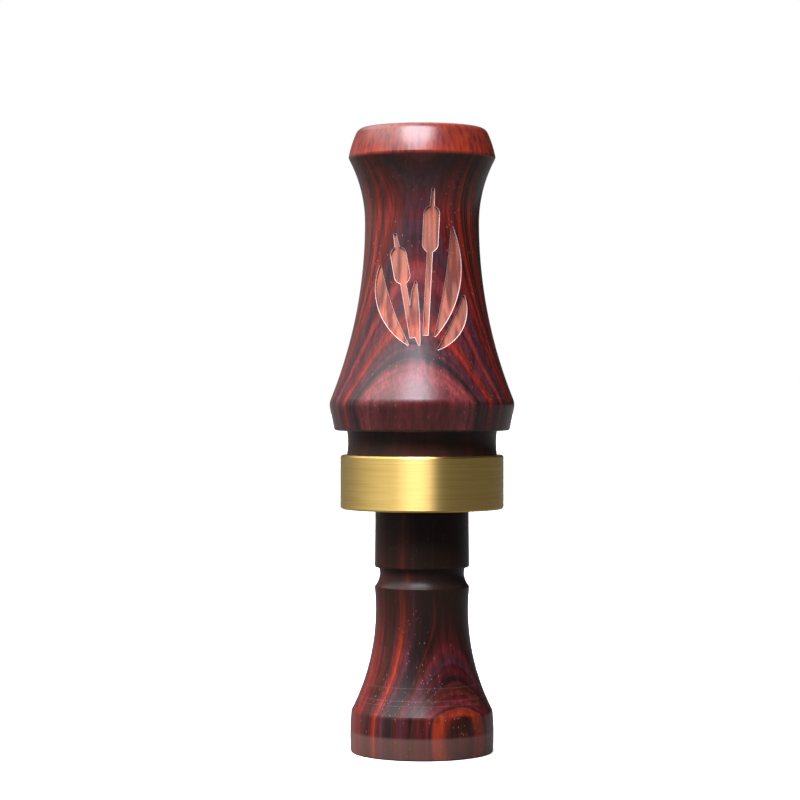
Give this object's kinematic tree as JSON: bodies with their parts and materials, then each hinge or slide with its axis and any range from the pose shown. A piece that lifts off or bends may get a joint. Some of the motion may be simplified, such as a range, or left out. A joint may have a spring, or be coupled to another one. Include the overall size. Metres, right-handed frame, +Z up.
{
  "type": "duck call",
  "caption": "Turned wooden duck call: waisted barrel with an engraved marsh motif, brass band, and a flared insert that holds the toneboard, reed and cork wedge.",
  "frame": {"origin": "centre of the insert's bell rim, on the face that the call stands on", "axes": "+Z up the call's axis from the bell to the mouthpiece; -Y is the front, where the motif is engraved and the toneboard faces; +X is to the right seen from the front"},
  "size_m": [0.0394, 0.0394, 0.1329],
  "materials": {
    "barrel_wood": "lacquered gloss",
    "insert_wood": "lacquered gloss",
    "brass": "fine turned satin",
    "acrylic": "polished",
    "nitrile": "matte",
    "cork": "cut cork",
    "reed_film": "frosted film"
  },
  "bodies": {
    "insert": {"insert": "insert_wood", "toneboard": "acrylic"},
    "seals": {"o_ring_lower": "nitrile", "o_ring_upper": "nitrile"},
    "barrel": {"barrel": "barrel_wood", "band": "brass"},
    "wedge": {"wedge": "cork"},
    "reed": {"reed_butt": "reed_film"},
    "reed_blade": {"reed_blade": "reed_film"}
  },
  "joints": [
    {"name": "barrel_twist", "type": "hinge", "parent": "insert", "child": "seals", "pos_m": [0, 0, 0.058], "axis": [0, 0, 1], "continuous": true},
    {"name": "barrel_pull", "type": "slide", "parent": "seals", "child": "barrel", "axis": [0, 0, 1], "range_m": [0, 0.075]},
    {"name": "wedge_slide", "type": "slide", "parent": "insert", "child": "wedge", "axis": [0, 0, 1], "range_m": [0, 0.012]},
    {"name": "reed_slide", "type": "slide", "parent": "insert", "child": "reed", "axis": [0, 0, 1], "range_m": [0, 0.0125]},
    {"name": "reed_flex", "type": "hinge", "parent": "reed", "child": "reed_blade", "pos_m": [0, -0.00242, 0.079], "axis": [-1, 0, 0], "range_deg": [0, 1.5], "stiffness_Nm_per_rad": 0.014}
  ]
}
